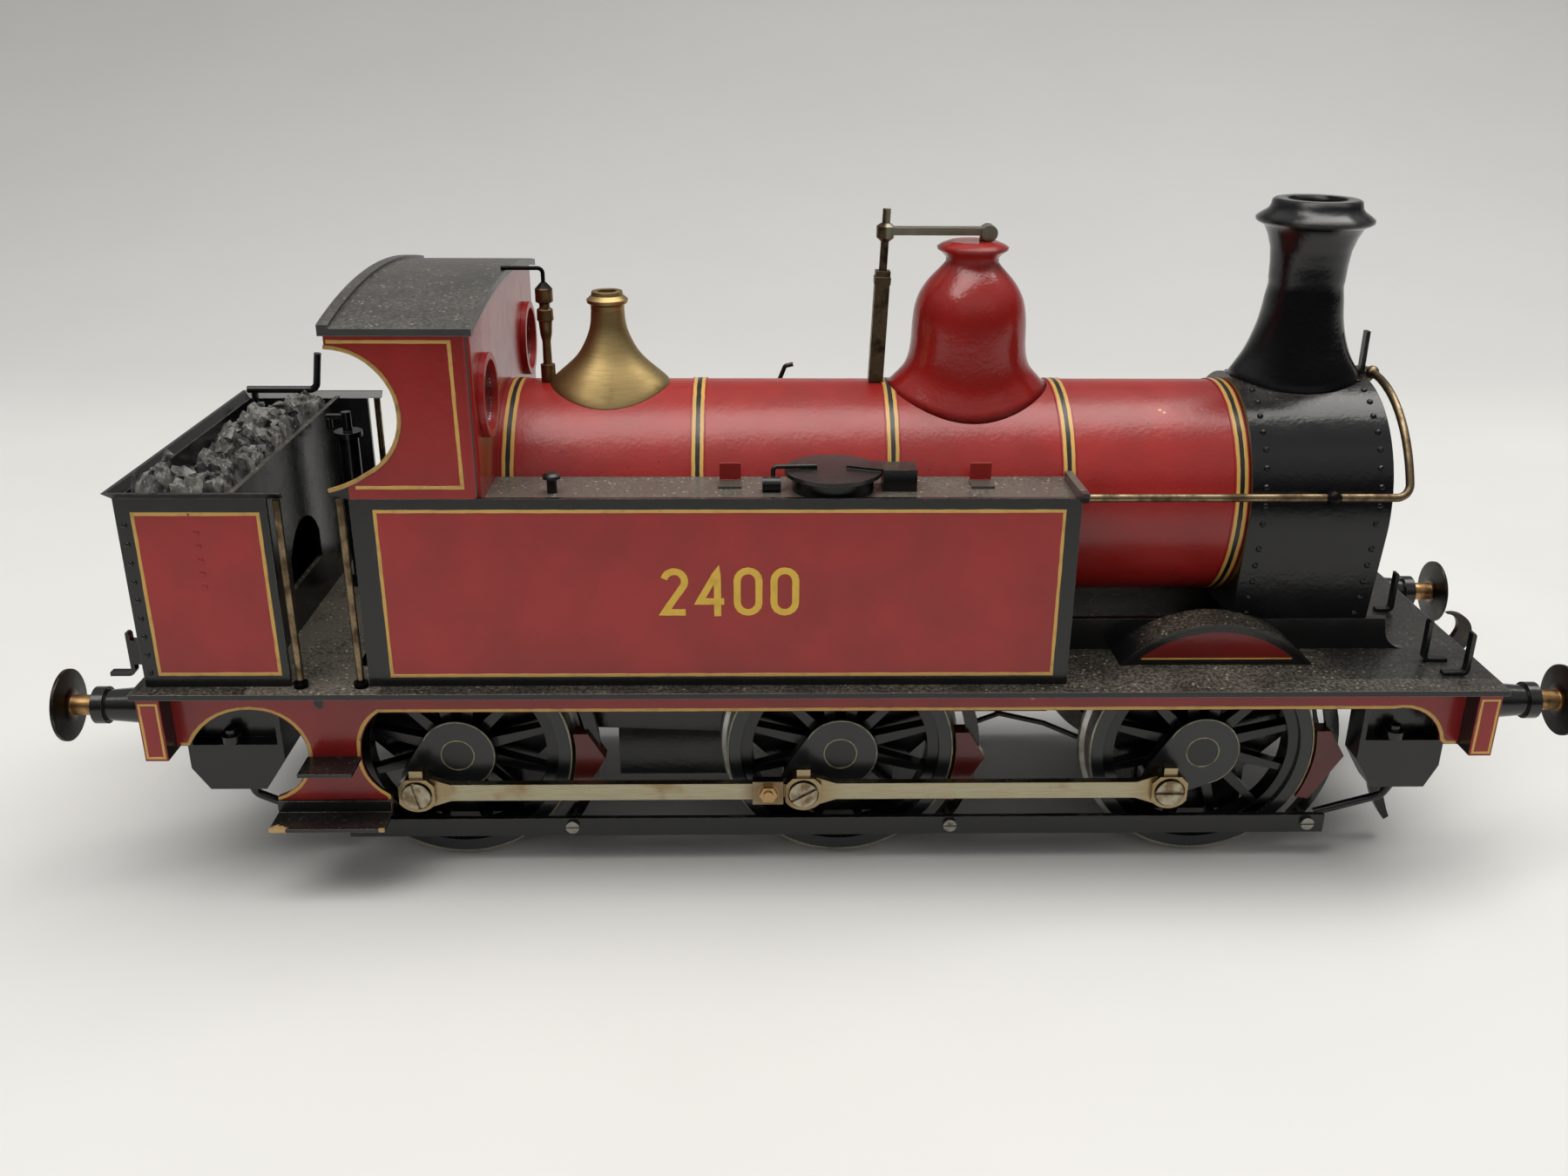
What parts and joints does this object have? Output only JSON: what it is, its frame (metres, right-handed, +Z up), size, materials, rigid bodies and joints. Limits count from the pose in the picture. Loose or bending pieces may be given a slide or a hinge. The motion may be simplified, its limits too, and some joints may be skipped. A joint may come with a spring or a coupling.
{
  "type": "model steam locomotive",
  "caption": "Metal model of a half-cab side tank steam locomotive with coupled spoked wheels, open-backed cab, dome, flared chimney and sprung buffers.",
  "frame": {"origin": "on the surface the wheels stand on, under the middle of the length over buffers", "axes": "+X towards the chimney end, +Y towards the locomotive's left side, +Z up"},
  "size_m": [0.2074, 0.0586, 0.0909],
  "materials": {
    "black_paint": "satin",
    "red_lined_paint": "satin, with a black border and a yellow line",
    "red_paint": "satin",
    "lined_bands": "black between two yellow lines",
    "brass": "dull",
    "polished_brass": "polished, lightly tarnished",
    "bronze_wire": "drawn wire, tarnished",
    "bright_steel": "turned",
    "dark_steel": "chemically blackened",
    "wheel_steel": "turned tread, centres painted black",
    "nickel_silver": "milled, a little grimy",
    "motor_steel": "plated",
    "pickup_wire": "dark spring wire",
    "coal": "broken coal",
    "clear_glazing": "clear"
  },
  "bodies": {
    "chassis": {"footplate": "black_paint", "valances": "red_lined_paint", "cab_steps": "black_paint", "buffer_beams": "red_lined_paint", "main_frames": "black_paint", "frame_spacers": "black_paint", "axle_bushes": "brass", "ashpan": "black_paint", "drawhooks": "dark_steel", "buffer_housings": "black_paint", "sandboxes_and_pipes": "black_paint", "brake_hangers": "black_paint", "brake_blocks": "red_lined_paint", "brake_pull_rods": "black_paint", "chassis_screws": "bright_steel", "smokebox": "black_paint", "smokebox_door": "black_paint", "chimney": "black_paint", "boiler_barrel": "red_paint", "boiler_bands": "lined_bands", "dome": "red_paint", "salter_valve": "bronze_wire", "safety_valve_cover": "polished_brass", "whistle": "bronze_wire", "handrails": "bronze_wire", "splashers": "red_lined_paint", "side_tanks": "red_lined_paint", "tank_fittings": "black_paint", "cab_shell": "red_lined_paint", "cab_roof": "black_paint", "spectacle_rims": "red_paint", "cab_windows": "clear_glazing", "backhead": "black_paint", "handbrake": "black_paint", "bunker": "red_lined_paint", "coal_plate": "black_paint", "coal_load": "coal", "fire_iron": "black_paint", "lamp_irons": "black_paint", "motor": "motor_steel", "gearbox": "brass", "pickups": "pickup_wire", "front_right_buffer_spring": "bright_steel", "front_left_buffer_spring": "bright_steel", "rear_right_buffer_spring": "bright_steel", "rear_left_buffer_spring": "bright_steel"},
    "rear_wheelset": {"rear_axle": "bright_steel", "rear_wheels": "wheel_steel"},
    "middle_wheelset": {"middle_axle": "bright_steel", "middle_wheels": "wheel_steel", "worm_wheel": "brass"},
    "front_wheelset": {"front_axle": "bright_steel", "front_wheels": "wheel_steel"},
    "right_rods": {"right_coupling_rods": "nickel_silver"},
    "left_rods": {"left_coupling_rods": "nickel_silver"},
    "motor_spindle": {"worm_shaft": "bright_steel"},
    "front_right_buffer_head": {"front_right_buffer": "dark_steel"},
    "front_left_buffer_head": {"front_left_buffer": "dark_steel"},
    "rear_right_buffer_head": {"rear_right_buffer": "dark_steel"},
    "rear_left_buffer_head": {"rear_left_buffer": "dark_steel"}
  },
  "joints": [
    {"name": "middle_wheelset_spin", "type": "hinge", "parent": "chassis", "child": "middle_wheelset", "pos_m": [0.0027, 0, 0.017], "axis": [0, 1, 0], "continuous": true},
    {"name": "rear_wheelset_spin", "type": "hinge", "parent": "chassis", "child": "rear_wheelset", "pos_m": [-0.05097, 0, 0.017], "axis": [0, 1, 0], "continuous": true},
    {"name": "front_wheelset_spin", "type": "hinge", "parent": "chassis", "child": "front_wheelset", "pos_m": [0.05403, 0, 0.017], "axis": [0, 1, 0], "continuous": true},
    {"name": "right_rods_orbit", "type": "hinge", "parent": "middle_wheelset", "child": "right_rods", "pos_m": [-0.00257, -0.0213, 0.0127], "axis": [0, 1, 0], "continuous": true},
    {"name": "left_rods_orbit", "type": "hinge", "parent": "middle_wheelset", "child": "left_rods", "pos_m": [0.007, 0.0213, 0.01173], "axis": [0, 1, 0], "continuous": true},
    {"name": "motor_spindle_spin", "type": "hinge", "parent": "chassis", "child": "motor_spindle", "pos_m": [0.0027, 0, 0.0256], "axis": [1, 0, 0], "continuous": true},
    {"name": "front_right_buffer_slide", "type": "slide", "parent": "chassis", "child": "front_right_buffer_head", "axis": [-1, 0, 0], "range_m": [0, 0.0018], "stiffness_N_per_m": 300, "deforming": ["front_right_buffer_spring"]},
    {"name": "front_left_buffer_slide", "type": "slide", "parent": "chassis", "child": "front_left_buffer_head", "axis": [-1, 0, 0], "range_m": [0, 0.0018], "stiffness_N_per_m": 300, "deforming": ["front_left_buffer_spring"]},
    {"name": "rear_right_buffer_slide", "type": "slide", "parent": "chassis", "child": "rear_right_buffer_head", "axis": [1, 0, 0], "range_m": [0, 0.0018], "stiffness_N_per_m": 300, "deforming": ["rear_right_buffer_spring"]},
    {"name": "rear_left_buffer_slide", "type": "slide", "parent": "chassis", "child": "rear_left_buffer_head", "axis": [1, 0, 0], "range_m": [0, 0.0018], "stiffness_N_per_m": 300, "deforming": ["rear_left_buffer_spring"]}
  ],
  "couplings": [
    {"joint": "rear_wheelset_spin", "follows": "middle_wheelset_spin", "ratio": 1},
    {"joint": "front_wheelset_spin", "follows": "middle_wheelset_spin", "ratio": 1},
    {"joint": "right_rods_orbit", "follows": "middle_wheelset_spin", "ratio": -1},
    {"joint": "left_rods_orbit", "follows": "middle_wheelset_spin", "ratio": -1},
    {"joint": "motor_spindle_spin", "follows": "middle_wheelset_spin", "ratio": -30}
  ]
}
